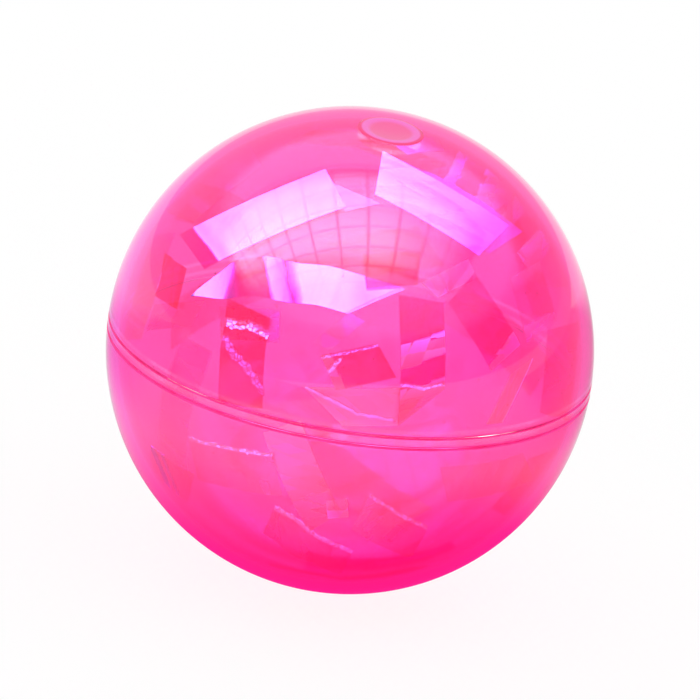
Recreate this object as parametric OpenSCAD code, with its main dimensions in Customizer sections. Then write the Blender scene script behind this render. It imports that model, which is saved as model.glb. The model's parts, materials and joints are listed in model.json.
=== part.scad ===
// Hollow see-through bouncy ball: two moulded halves joined by a weld band round the equator,
// a bonded plug in the vent hole at the top, and loose strips of shiny film inside.
// The ball's centre is the origin, the seam lies level and the plug leans a little off +Z.

/* [Ball] */
// Outside diameter of the ball
ball_d = 100; // [80:1:120]
// Thickness of the moulded wall
wall = 2.5; // [2:0.1:4]
// Diameter of the flat left at the bottom where the moulding gate is trimmed
gate_flat_d = 9; // [5:0.5:12]

/* [Seam] */
// Height of the weld band round the equator
seam_h = 2.3; // [1.4:0.1:4]
// Depth of the groove that the weld band fills
seam_depth = 1.1; // [0.6:0.1:1.3]
// Height of the locating spigot under the upper half's rim
spigot_h = 1.8; // [1.2:0.1:3]
// Thickness of the locating spigot
spigot_t = 0.7; // [0.4:0.1:0.9]
// Clearance between the spigot and its socket
spigot_fit = 0.1; // [0.05:0.05:0.2]

/* [Plug] */
// Diameter of the plug's head
plug_head_d = 13.5; // [11:0.5:16]
// Thickness of the plug's head at its rim
plug_head_h = 1.5; // [1.1:0.1:1.7]
// Rounding of the plug's rim
plug_rim_r = 0.6; // [0.3:0.1:0.8]
// How far the plug's rim stands above the ball's surface
plug_proud = 0.26; // [0.1:0.02:0.4]
// Diameter of the dish in the plug's head
dish_d = 10.6; // [7:0.2:10.8]
// Depth of the dish in the plug's head
dish_depth = 0.6; // [0.2:0.1:0.9]
// Diameter of the plug's stem
plug_stem_d = 8; // [5:0.5:9]
// Clearance round the plug's head and stem
plug_fit = 0.1; // [0.05:0.05:0.2]
// Angle by which the plug leans off the pole
plug_lean = 4; // [0:0.5:6]
// Direction of the lean, from the front towards the right
plug_turn = 25; // [-90:5:90]

/* [Film] */
// Usual length of a film strip, measured straight from end to end
strip_l = 36; // [28:1:40]
// Usual width of a film strip
strip_w = 10; // [8:0.5:11]
// Thickness of the film
film_t = 0.2; // [0.1:0.05:0.25]
// Gap between the wall and the nearest corners of a strip
film_clear = 0.3; // [0.2:0.05:0.5]
// Step inwards from one layer of strips to the next
layer_step = 0.95; // [0.95:0.05:1.2]

/* [Hidden] */

$fn = 256;
shell_colour = [1.0, 0.27, 0.66, 0.45];
weld_colour = [0.99, 0.15, 0.55, 0.7];
plug_colour = [1.0, 0.42, 0.68, 0.7];
film_colours = [[0.93, 0.78, 0.98], [0.97, 0.5, 0.86], [0.98, 0.3, 0.62]];

ball_r = ball_d / 2;
inner_r = ball_r - wall;
overrun = wall;
// Height of the bottom flat below the centre, where the sphere is as wide as the flat
flat_z = sqrt(pow(ball_r, 2) - pow(gate_flat_d / 2, 2));
groove_r = ball_r - seam_depth;
spigot_r = inner_r + spigot_t;
plug_head_r = plug_head_d / 2;
plug_stem_r = plug_stem_d / 2;
plug_top_z = sqrt(pow(ball_r, 2) - pow(plug_head_r, 2)) + plug_proud;
plug_seat_z = plug_top_z - plug_head_h;
dish_r = (pow(dish_d / 2, 2) + pow(dish_depth, 2)) / (2 * dish_depth);
film_steps = 28;

// One row for each film strip. The four groups of a row are
// wall angles in degrees: longitude, latitude, spin of the length from east to north, tilt on edge
// layer: how far in from the wall, counted in layers of strips
// cut, as shares of the usual length and width: length, width, slant of the left and right ends
// form: bend as a share of the wall's curve, then lift and wave height as shares of the usual
// width, which fade towards the right end, and the number of waves
film_shares = [
    ["film_left_bright", [-135.5, 47.4, 55.6, 6], 0, [0.94, 1.05, 0.27, -0.17], [0.4, 0, 0, 0]],
    ["film_left_under", [-124, 55.6, 49, 6], 1, [0.84, 0.95, 0.2, -1], [0.6, 0.24, 0, 0]],
    ["film_wavy", [-110.4, 34.7, 7, -12], 0, [1.18, 0.9, -0.75, 1], [1, 0, 0.22, 3]],
    ["film_wavy_under", [-79.5, 42.2, 8, 0], 1, [0.32, 0.7, 0, 0.2], [1, 0.05, 0, 0]],
    ["film_right_bright", [-52.6, 62.3, -48.5, 12], 0, [0.8, 1.02, 0.28, 0.2], [0.5, 0, 0, 0]],
    ["film_right_under", [-40, 62.5, -62, 12], 0.6, [0.82, 1, 0.4, 0.3], [0.6, 0.3, 0, 0]],
    ["film_crinkled", [-70.6, 19.7, -88, 0], 0, [0.72, 0.92, -0.18, -0.79], [1, 0, 0.05, 2]],
    ["film_slanted", [-51.6, 28.5, -61, 0], 0, [0.48, 0.9, 0.1, 0], [1, 0, 0.05, 1]],
    ["film_on_edge", [-39.8, 8.8, 54, 58], 0, [0.4, 0.8, 0, 0.4], [0.4, 0, 0, 0]],
    ["film_low_front", [-83.4, 7, 6.7, 0], 1, [0.7, 0.76, 1, 0.85], [1, 0, 0.06, 2]],
    ["film_curled", [-87.2, 16.9, 20, 0], 0, [0.38, 0.74, 0.2, -0.3], [1.6, 0, 0.04, 2]],
    ["film_crumpled", [-117.4, 13.6, -79, 0], 0, [0.58, 0.98, -0.3, 0], [1, 0, 0.06, 2]],
    ["film_crumpled_under", [-119.5, 20.6, 14, 0], 1, [0.42, 0.64, 0.2, -0.1], [1, 0.2, 0, 0]],
    ["film_left_side", [-152, 21, 6, 0], 0, [0.44, 0.8, 0.7, -0.3], [1, 0.2, 0.1, 2]],
    ["film_left_mid", [-143.5, 14.5, 25, 0], 1, [0.48, 0.5, -0.5, 0.6], [1, 0, 0, 0]],
    ["film_left_rim", [-178, 10, 108, 24], 0, [0.68, 0.95, 0.2, -0.2], [0.5, 0, 0.08, 1]],
    ["film_top_left", [-178, 44, 104, 22], 0, [0.6, 0.92, 0.3, 0.1], [0.5, 0, 0, 0]],
    ["film_top_patch", [-18, 80, -30, 0], 0, [0.38, 0.66, 0.1, 0.5], [1, 0, 0, 0]],
    ["film_top_right", [12, 62, -112, 34], 0, [0.5, 0.95, 0.2, 0.3], [0.5, 0, 0.06, 2]],
    ["film_facet_wide", [-12, 46, -95, 24], 0, [0.4, 0.8, 0.3, -0.2], [0.5, 0, 0, 0]],
    ["film_facet_mid", [-60.1, 39.9, 21.3, 0], 1, [0.34, 0.42, 0.36, 0.17], [1, 0, 0, 0]],
    ["film_right_mid", [-27, 30, -95, 26], 0, [0.42, 0.76, 0.2, -0.4], [0.5, 0, 0, 0]],
    ["film_right_rim", [6, 36, -110, 36], 0, [0.5, 0.9, -0.2, 0.3], [0.5, 0, 0.06, 2]],
    ["film_right_side", [-14, 8, -105, 28], 0, [0.56, 0.9, 0.2, 0.2], [0.5, 0, 0, 0]],
    ["film_mid_purple", [-93.7, 24.4, 49.8, 0], 0, [0.3, 0.34, 0.59, -0.36], [1, 0, 0, 0]],
    ["film_low_left", [-115.6, -16.7, 8, 0], 0, [0.56, 0.96, 0.1, -0.1], [1, 0, 0.05, 1]],
    ["film_low_long", [-96.7, -15.5, -62, 0], 1, [0.7, 0.85, 0.08, -0.35], [1, 0, 0, 0]],
    ["film_low_bit", [-87, -21.5, 17, 0], 0, [0.13, 0.48, -0.1, 0.1], [1, 0, 0, 0]],
    ["film_low_middle", [-94, -37.7, -33, 0], 0, [0.64, 0.96, 0.4, -0.4], [1, 0, 0.1, 2]],
    ["film_low_right", [-71, -27.5, -31, 0], 0, [0.58, 0.9, 0.4, -0.5], [1, 0, 0, 0]],
    ["film_low_wide", [-46.3, -12, 3, 0], 0, [0.74, 0.85, 0.44, -0.75], [1, 0, 0, 0]],
    ["film_low_far_left", [-140, -28, -4, 0], 0, [0.5, 1, -0.43, 0.49], [1, 0, 0.05, 1]],
    ["film_low_far_right", [-18, -24, -100, 20], 0, [0.5, 0.9, 0.3, 0.2], [0.5, 0, 0, 0]],
    ["film_bottom_front", [-74, -63, 4, 0], 0, [0.9, 1, 0.2, 0.2], [1, 0, 0.06, 2]],
    ["film_bottom_cross", [-30, -70, 70, 0], 1, [0.94, 0.95, -0.2, 0.3], [1, 0, 0, 0]],
    ["film_bottom_back", [75, -58, 25, 0], 0, [0.94, 1, 0.3, -0.2], [1, 0, 0.08, 3]],
    ["film_back_middle", [92, 4, -24, 0], 0, [1, 1, -0.3, 0.2], [1, 0, 0.1, 3]],
    ["film_back_top", [96, 50, 16, 0], 0, [0.94, 1, 0.2, -0.3], [1, 0, 0.1, 2]],
    ["film_back_left", [139, 20, 26, 0], 0, [0.84, 0.98, 0.3, 0.2], [1, 0, 0, 0]],
    ["film_back_right", [40, 22, 62, 0], 0, [0.86, 0.98, 0.2, -0.3], [1, 0, 0.08, 2]],
    ["film_back_band", [46, -6, 12, 0], 0.7, [0.96, 1, 0.3, 0.2], [1, 0, 0, 0]],
    ["film_back_cross", [130, -7, -18, 0], 1, [0.9, 0.95, 0.2, -0.3], [1, 0, 0, 0]],
    ["film_back_low", [152, -33, -42, 0], 0, [0.92, 0.95, -0.2, -0.2], [1, 0, 0.1, 2]]
];

function film_length(row) = row[3][0] * strip_l;
function film_width(row) = row[3][1] * strip_w;
function film_bend(row) = row[4][0];

// Radius that no corner of a strip in this row's layer passes
function rest_r(row) = inner_r - film_clear - row[2] * layer_step;

// Radius, in the plane of the bend, of the long edge next to the wall
// where the strip has fallen away from its middle by the given amount
function edge_r(row, fall) =
    let (edge_z = film_width(row) / 2 * cos(row[1][3]) + fall * abs(sin(row[1][3])))
    sqrt(pow(rest_r(row), 2) - pow(edge_z, 2));

// Radius to which a strip is bent
function bend_r(row) = edge_r(row, 0) / film_bend(row);

// Fall of an arc of the given radius at a distance along its chord from the middle
function arc_fall(radius, along) = radius - sqrt(pow(radius, 2) - pow(along, 2));

// Height of the strip's middle above the ball's centre, with both ends on the edge radius
function middle_x(row) =
    let (half = film_length(row) / 2, fall = arc_fall(bend_r(row), half))
    min(edge_r(row, 0), sqrt(pow(edge_r(row, fall), 2) - pow(half, 2)) + fall * cos(row[1][3]));

// Height of the strip's outer face against its middle, at a share of its length from the left end
function face_x(row, share) =
    let (
        along = (share - 0.5) * film_length(row),
        left_share = 1 - share,
        lift = row[4][1] * strip_w * left_share,
        wave = row[4][2] * strip_w * (1 - cos(360 * row[4][3] * share)) / 2
    )
    -arc_fall(bend_r(row), along) - (lift + wave) * left_share;

// Section of a bent strip along its length
module film_section(row) {
    outer = [
        for (i = [0 : film_steps])
            let (share = i / film_steps)
            [face_x(row, share), (share - 0.5) * film_length(row)]
    ];
    inner = [for (i = [film_steps : -1 : 0]) outer[i] - [film_t, 0]];
    polygon(concat(outer, inner));
}

// Cut outline of a strip seen square on, with slanted ends
module film_outline(row) {
    half_l = film_length(row) / 2;
    half_w = film_width(row) / 2;
    left = row[3][2] * film_width(row);
    right = row[3][3] * film_width(row);
    polygon([
        [-half_l + max(left, 0), -half_w],
        [half_l - max(right, 0), -half_w],
        [half_l - max(-right, 0), half_w],
        [-half_l + max(-left, 0), half_w]
    ]);
}

// One film strip, bent to the wall, cut to its outline and set in its place
module film_strip(row) {
    angles = row[1];
    middle = middle_x(row) - film_width(row) / 2 * abs(sin(angles[3]));
    rotate([0, 0, angles[0]])
        rotate([0, -angles[1], 0])
            translate([middle, 0, 0])
                rotate([angles[2], 0, 0])
                    rotate([0, angles[3], 0])
                        intersection() {
                            linear_extrude(height = film_width(row), center = true)
                                film_section(row);
                            rotate([90, 0, 90])
                                linear_extrude(height = ball_d, center = true)
                                    film_outline(row);
                        }
}

module film(row, index) {
    color(film_colours[index % len(film_colours)])
        film_strip(row);
}

// Section of the ball's wall, right of the axis
module wall_section() {
    difference() {
        circle(r = ball_r);
        circle(r = inner_r);
        translate([-ball_d, -ball_d])
            square([ball_d, 2 * ball_d]);
    }
}

// Section of the weld band, whose inner face stands off the groove's floor by the given gap
module weld_section(gap) {
    intersection() {
        wall_section();
        translate([groove_r + gap, -seam_h / 2])
            square([ball_r, seam_h]);
    }
}

// Section of the spigot on the upper half, enlarged by the given gap to make its socket
module spigot_section(gap) {
    intersection() {
        wall_section();
        translate([0, -spigot_h - gap])
            square([spigot_r + gap, spigot_h + gap]);
    }
}

// Turns a piece that is drawn on +Z onto the plug's own axis
module on_plug_axis() {
    rotate([plug_lean, 0, plug_turn])
        children();
}

module upper_shell() {
    color(shell_colour)
        difference() {
            rotate_extrude() {
                difference() {
                    intersection() {
                        wall_section();
                        square([ball_d, ball_d]);
                    }
                    weld_section(0);
                }
                spigot_section(0);
            }
            on_plug_axis() {
                translate([0, 0, plug_seat_z])
                    cylinder(r = plug_head_r + plug_fit, h = ball_r);
                translate([0, 0, inner_r - overrun])
                    cylinder(r = plug_stem_r + plug_fit, h = ball_r);
            }
        }
}

module lower_shell() {
    color(shell_colour)
        rotate_extrude()
            difference() {
                intersection() {
                    wall_section();
                    translate([0, -flat_z])
                        square([ball_d, flat_z]);
                }
                weld_section(0);
                spigot_section(spigot_fit);
            }
}

module seam_weld() {
    color(weld_colour)
        rotate_extrude()
            weld_section(spigot_fit);
}

// Section of the plug, right of its axis
module plug_section() {
    difference() {
        union() {
            translate([0, plug_seat_z])
                square([plug_head_r, plug_head_h - plug_rim_r]);
            translate([0, plug_seat_z])
                square([plug_head_r - plug_rim_r, plug_head_h]);
            translate([plug_head_r - plug_rim_r, plug_top_z - plug_rim_r])
                circle(r = plug_rim_r);
            translate([0, inner_r])
                square([plug_stem_r, plug_top_z - inner_r]);
        }
        translate([0, plug_top_z - dish_depth + dish_r])
            circle(r = dish_r);
    }
}

module vent_plug() {
    color(plug_colour)
        on_plug_axis()
            rotate_extrude()
                plug_section();
}

upper_shell();
lower_shell();
seam_weld();
vent_plug();
for (i = [0 : len(film_shares) - 1]) {
    film(film_shares[i], i);
}
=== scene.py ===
"""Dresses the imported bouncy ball: see-through moulded halves, weld band, vent plug and loose film strips."""
import json
import math
import random

import bpy
from mathutils import Matrix, Vector, noise


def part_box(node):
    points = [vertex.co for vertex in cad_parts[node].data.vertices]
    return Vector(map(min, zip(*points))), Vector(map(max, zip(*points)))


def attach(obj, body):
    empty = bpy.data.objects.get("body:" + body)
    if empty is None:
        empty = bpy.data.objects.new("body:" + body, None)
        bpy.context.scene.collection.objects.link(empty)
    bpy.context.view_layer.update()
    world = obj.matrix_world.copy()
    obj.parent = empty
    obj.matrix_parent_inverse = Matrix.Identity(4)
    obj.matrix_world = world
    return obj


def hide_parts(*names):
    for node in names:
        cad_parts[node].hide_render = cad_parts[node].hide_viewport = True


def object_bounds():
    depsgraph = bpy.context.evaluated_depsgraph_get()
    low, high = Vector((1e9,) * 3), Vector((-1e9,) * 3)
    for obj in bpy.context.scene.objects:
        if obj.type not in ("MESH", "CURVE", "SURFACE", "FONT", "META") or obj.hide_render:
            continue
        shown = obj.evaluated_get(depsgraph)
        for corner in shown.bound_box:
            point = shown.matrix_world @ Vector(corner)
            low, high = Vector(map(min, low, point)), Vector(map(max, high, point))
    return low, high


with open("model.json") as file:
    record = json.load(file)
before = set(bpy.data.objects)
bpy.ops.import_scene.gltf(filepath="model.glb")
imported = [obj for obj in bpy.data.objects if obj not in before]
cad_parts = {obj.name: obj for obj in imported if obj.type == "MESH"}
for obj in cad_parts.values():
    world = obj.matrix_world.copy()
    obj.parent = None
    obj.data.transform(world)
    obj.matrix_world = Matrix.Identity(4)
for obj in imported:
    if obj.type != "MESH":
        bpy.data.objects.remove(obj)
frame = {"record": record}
CAD_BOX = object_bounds()

bl_info = {
    "name": "Bouncy ball with film",
    "version": (1, 0, 0),
    "blender": (4, 5, 0),
    "location": "View3D > Sidebar > Ball",
    "description": "Builds a see-through bouncy ball with loose iridescent film inside",
    "category": "Object",
}

MM = 0.001
NOMINAL_R = 50.0 * MM
INNER_R = NOMINAL_R - 2.5 * MM
BALL_R = min(abs(side) for corner in CAD_BOX for side in corner[:2])
FLAT_Z = -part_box("lower_shell")[0][2]
SPIGOT_H = -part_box("upper_shell")[0][2]
SEAM_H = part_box("seam_weld")[1][2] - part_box("seam_weld")[0][2]
IMAGE_PX = 700
SENSOR_MM = 36.0
CLIP_END = 50.0

# Fineness of the meshes: steps round the ball and the plug, and along their outlines
ROUND_STEPS = 320
PLUG_ROUND_STEPS = 192
WALL_STEPS = 120
DISH_STEPS = 24
BAND_STEPS = 12
EDGE_STEPS = 6
FILM_STEPS = (80, 24)
FOLDED_STEPS = (110, 44)
SHARP_ANGLE = math.radians(40.0)
POLE_R = 1e-9

# Where a face meets a rounded seam edge, in radii of that edge
EDGE_REACH = 1.3
# Latitudes between which the upper half comes to lean with its plug, and a pair below all of the plug
HALF_LEAN = (math.radians(10.0), math.radians(70.0))
WHOLE_LEAN = (-2.0, -1.0)
# How far the weld bead's edges wander, and how quickly round the seam and up it
BEAD_WANDER = 0.05 * MM
BEAD_ROUND = 7.5
BEAD_UP = 120.0

# Plastic: patterns in cells per metre, depths of the ripples, where specks and clouds begin and end in their
# patterns, roughness and how far it spreads, and the painted shade that deepens the pink towards the ball's
# right side and the painted light that makes its far left rim more lilac
RIPPLE_SCALE = 35.0
SPECK_SCALE = 350.0
SPECK_PATCH_SCALE = 60.0
CLOUD_SCALE = 160.0
BOND_SCALE = 120.0
RIPPLE_DEPTH = 0.02 * MM
BEAD_RIPPLE_DEPTH = 0.05 * MM
SPECK_EDGE = (0.045, 0.075)
SPECK_PATCHES = (0.5, 0.54)
SPECK_SHADE = 0.12
CLOUDS = (0.35, 0.65)
BOND_PATCHES = (0.3, 0.8)
PLASTIC_IOR = 1.5
OUTSIDE_ROUGHNESS = 0.03
INSIDE_ROUGHNESS = 0.04
BEAD_ROUGHNESS = 0.06
ROUGHNESS_SPREAD = 0.02
CLOUD_SPREAD = 0.1
SEAM_ROUGHNESS = 0.5
SEAM_SPECULAR = 0.25
PLUG_ROUGHNESS = 0.18
RIM_FACING = (0.3, 0.75)
# Painted shade deepens the pink towards the ball's right side; painted light makes the far left rim more lilac
RIGHT_SHADE_RANGE = (-0.2 * BALL_R, 0.9 * BALL_R)
RIGHT_PAINTED_SHADE = (1.0, 0.72, 0.95)
LEFT_RIM_PAINTED_LIGHT = (-0.95 * BALL_R, -0.5 * BALL_R)
# Plug, in shares of its radius: where its painted light round the dish and its red painted shadow along the
# rim begin, and how uneven these are
PLUG_LIT_RING = (0.58, 0.76)
PLUG_SHADED_EDGE = (0.87, 0.95)
PLUG_UNEVEN = 0.03

# Film: streaks along and across a strip, cracks in the painted glint of its folds in cells per metre, how far
# streaks, slant and facets shift the bands, what a facet's painted light and shade does to colour, clearness
# and shine, and how streaks dull the shine
STREAKS = (14.0, 1.5, 1.0)
STREAK_DETAIL = 3.0
CRACK_SCALE = 900.0
CRACKS = (0.02, 0.09)
STREAK_SHIFT = 0.04
SLANT_SHIFT = 0.1
FACET_SHIFT = 0.04
FACET_COLOUR = 1.2
FACET_CLEAR = 0.4
FACET_SHINE = 0.9
STREAK_DULL = 0.1
GLINT_ROUGHNESS = 0.16
# Sets of creases, their spacing in millimetres, the crinkle at which the facets' painted light and shade is at
# full strength, how fast a fold drops back, and a step from one noise to another
CREASE_SETS = 3
CREASE_SPACING = (4.0, 10.0)
FULL_CREASE = 0.3
FOLD_DROP = 4.0
NOISE_STEP = Vector((9.0, 0.0, 0.0))

# Light that strips see in front and overhead, and a little more all round, where white is 1
FRONT_GLOW = 1.5
HIGH_GLOW = 4.0
EXTRA_GLOW = 0.15
WHITE = (1.0, 1.0, 1.0)
# Floor: half of its side in metres, and the share of plain white in what the camera sees of it. Then, in ball
# radii: the ball's painted pink glow on it, as rays through the ball and gloss see it, and where gloss sees it
# dimmed by painted shade
FLOOR_HALF = 6.0
FLOOR_PLAIN = 0.88
FLOOR_FRONT = (-1.2, -0.5)
GLOW_STRETCH = (1.3, 1.0, 1.0)
GLOW_PLACE = (-0.2, 0.0, 0.0)
THROUGH_GLOW = (0.55, 2.9)
GLOSS_GLOW = (0.85, 1.9)
GLOSS_SPREAD = 0.3
DIM_LEFT = (-4.0, -2.4)
DIM_BACK = (-1.0, 1.2)
DIM_WIDE = (0.9, 2.4)
DIM_NARROW = 0.2
DIM_END = (1.8, 4.2)
FLOOR_DIM = 0.62
# Surroundings, by the way a ray goes: the strips' bright front and top, and the room that the gloss shows,
# with dim walls, a brighter spot behind the ball, and a table with a bent edge
SKY_FRONT = (-0.5, 0.0)
SKY_TOP = (0.4, 0.55)
ROOM_GLOW = 1.2
WALL_GLOW = 0.2
BACK_WALL = (-0.7, 0.3)
BACK_WALL_GLOW = 0.42
RIGHT_WALL = (0.2, 0.8)
RIGHT_WALL_DIM = 0.4
BEHIND_Y, BEHIND_Z = 0.936, -0.352
BEHIND = (0.9, 1.0)
BEHIND_GLOW = 0.6
TABLE_EDGE = (0.1, 0.11)
TABLE_FAR = (0.0, 0.6)
TABLE_FAR_DIM = 0.5
TABLE_BEND, TABLE_SLOPE = 0.2, 0.15
TABLE_CORNER, TABLE_DROP = -0.65, 1.2
# Light panel, in panel heights: its left, right, front and back sides, where it fades (to the left and right
# in shares of its width), its crossbars as slant, place and spacing, and its level for strips and for gloss
PANEL_SIDES = (-1.75, 0.95, -1.1, 0.5)
PANEL_LEFT = (0.0, 0.16)
PANEL_RIGHT = (0.8, 1.0)
PANEL_BACK = (0.24, 0.5)
UPRIGHT_BARS = (0.1, 0.02, 0.22)
LEVEL_BARS = (-0.2, -0.02, 0.2)
BAR_EDGE = (0.02, 0.08)
BAR_SHADE = 0.5
STRIP_FRONT = (-0.55, -0.4)
STRIP_END = (-0.56, -0.55)
STRIP_LEAST = 0.9
GLOSS_FRONT = (-1.1, -0.2)
GLOSS_BACK, GLOSS_BACK_DIM = (-0.35, 0.2), 0.75
GLOSS_RIGHT, GLOSS_RIGHT_DIM = (0.05, 0.45), 0.7
GLOSS_LEVEL = 0.45
GLOSS_LEAST = 0.25
# How often light may be sent on in all, through plastic, by gloss, and through film
BOUNCES, CLEAR_BOUNCES, GLOSS_BOUNCES, FILM_BOUNCES = 32, 32, 24, 64

# Finishes of the moulded pieces, by material slot
GLOSS, INSIDE, JOINT, LINE = range(4)


def fade(first, first_share, second, second_share):
    """Bands of a strip that goes from one colour, with its share of light sent back, to another."""
    return (0.0, first, first_share), (1.0, second, second_share)
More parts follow.
